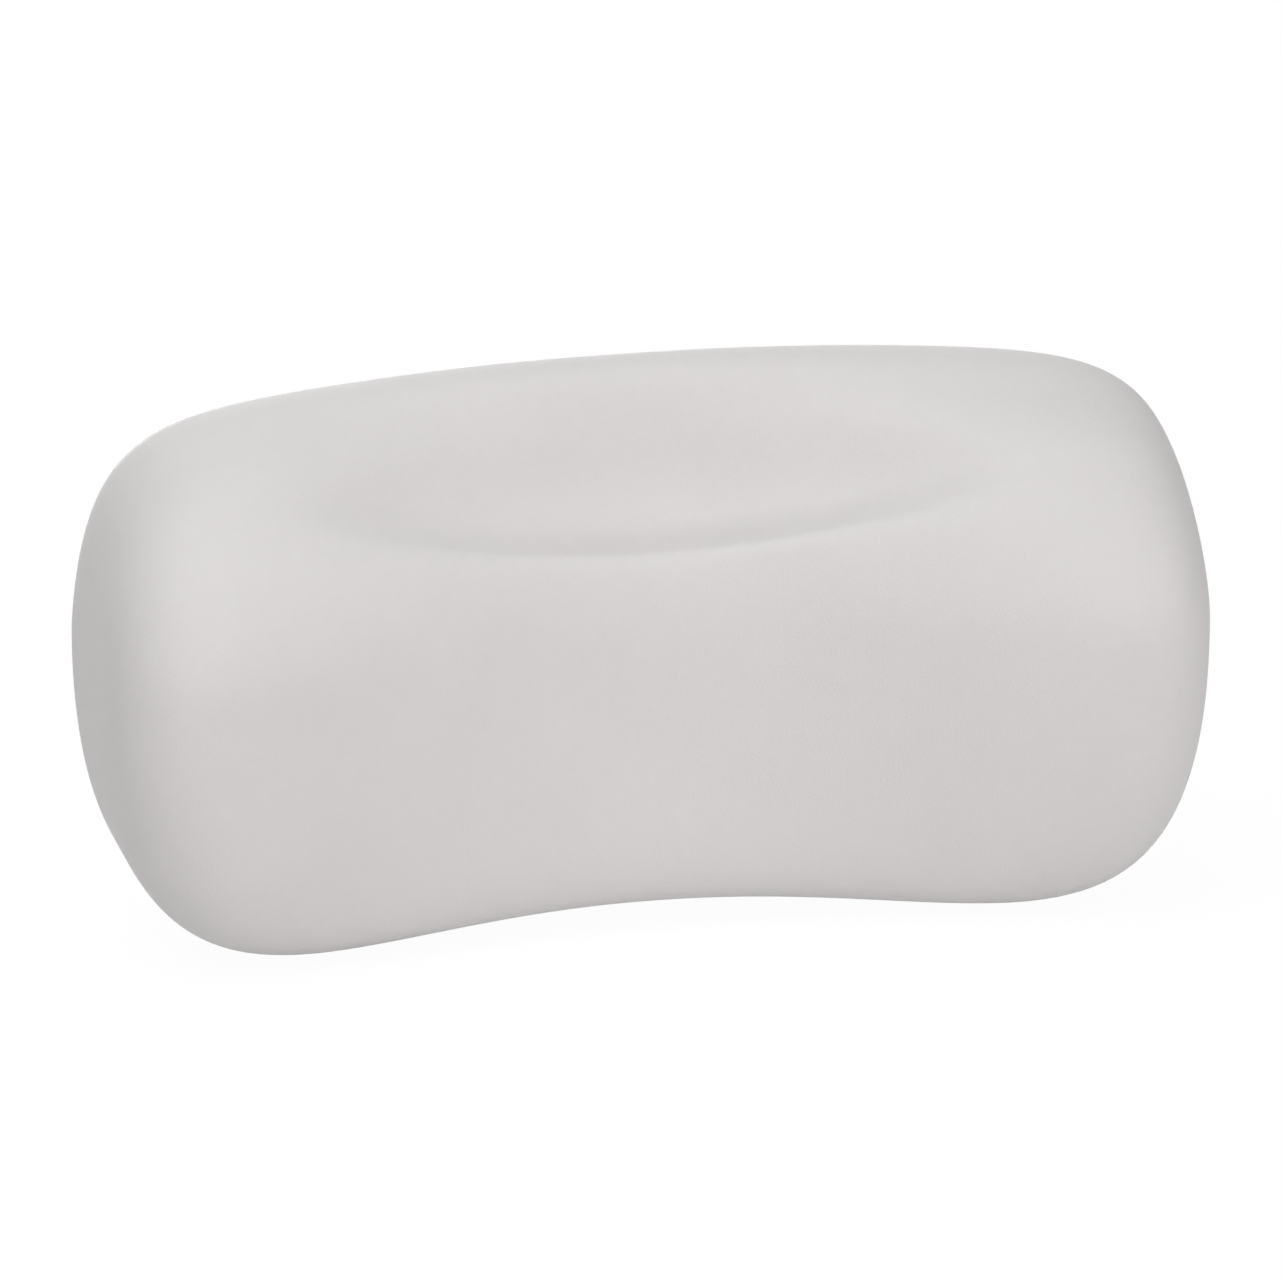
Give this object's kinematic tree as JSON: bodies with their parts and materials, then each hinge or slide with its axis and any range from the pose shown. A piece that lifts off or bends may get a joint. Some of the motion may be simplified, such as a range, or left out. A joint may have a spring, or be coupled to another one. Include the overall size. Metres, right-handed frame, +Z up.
{
  "type": "bath pillow",
  "caption": "Moulded soft-foam bath pillow with a scooped head dish, held to the bath wall by swivelling suction cups.",
  "frame": {"origin": "midway between the two suction cups, on the bath wall that they stick to", "axes": "+X along the pillow to the right as seen from the bath, +Y into the wall, +Z up"},
  "size_m": [0.33, 0.1084, 0.1631],
  "materials": {
    "skin": "satin",
    "foam": "matte",
    "insert": "satin",
    "ring": "satin",
    "screw": "satin",
    "bush": "satin",
    "cup": "gloss"
  },
  "bodies": {
    "pillow": {"outer_skin": "skin", "foam_core": "foam", "back_plate": "insert", "retainer_ring_left": "ring", "retainer_ring_right": "ring", "ring_screw_left_1": "screw", "ring_screw_left_2": "screw", "ring_screw_left_3": "screw", "ring_screw_right_1": "screw", "ring_screw_right_2": "screw", "ring_screw_right_3": "screw"},
    "bush_left": {"swivel_bush_left": "bush"},
    "bush_right": {"swivel_bush_right": "bush"},
    "cup_left": {"suction_cup_left": "cup"},
    "cup_right": {"suction_cup_right": "cup"}
  },
  "joints": [
    {"name": "cup_swivel_left", "type": "hinge", "parent": "pillow", "child": "bush_left", "pos_m": [-0.085, -0.01845, 0], "axis": [0, 1, 0], "continuous": true},
    {"name": "cup_lean_left", "type": "hinge", "parent": "bush_left", "child": "cup_left", "pos_m": [-0.085, -0.01845, 0], "axis": [0, 0, 1], "range_deg": [-4, 4]},
    {"name": "cup_swivel_right", "type": "hinge", "parent": "pillow", "child": "bush_right", "pos_m": [0.085, -0.01845, 0], "axis": [0, 1, 0], "continuous": true},
    {"name": "cup_lean_right", "type": "hinge", "parent": "bush_right", "child": "cup_right", "pos_m": [0.085, -0.01845, 0], "axis": [0, 0, 1], "range_deg": [-4, 4]}
  ]
}
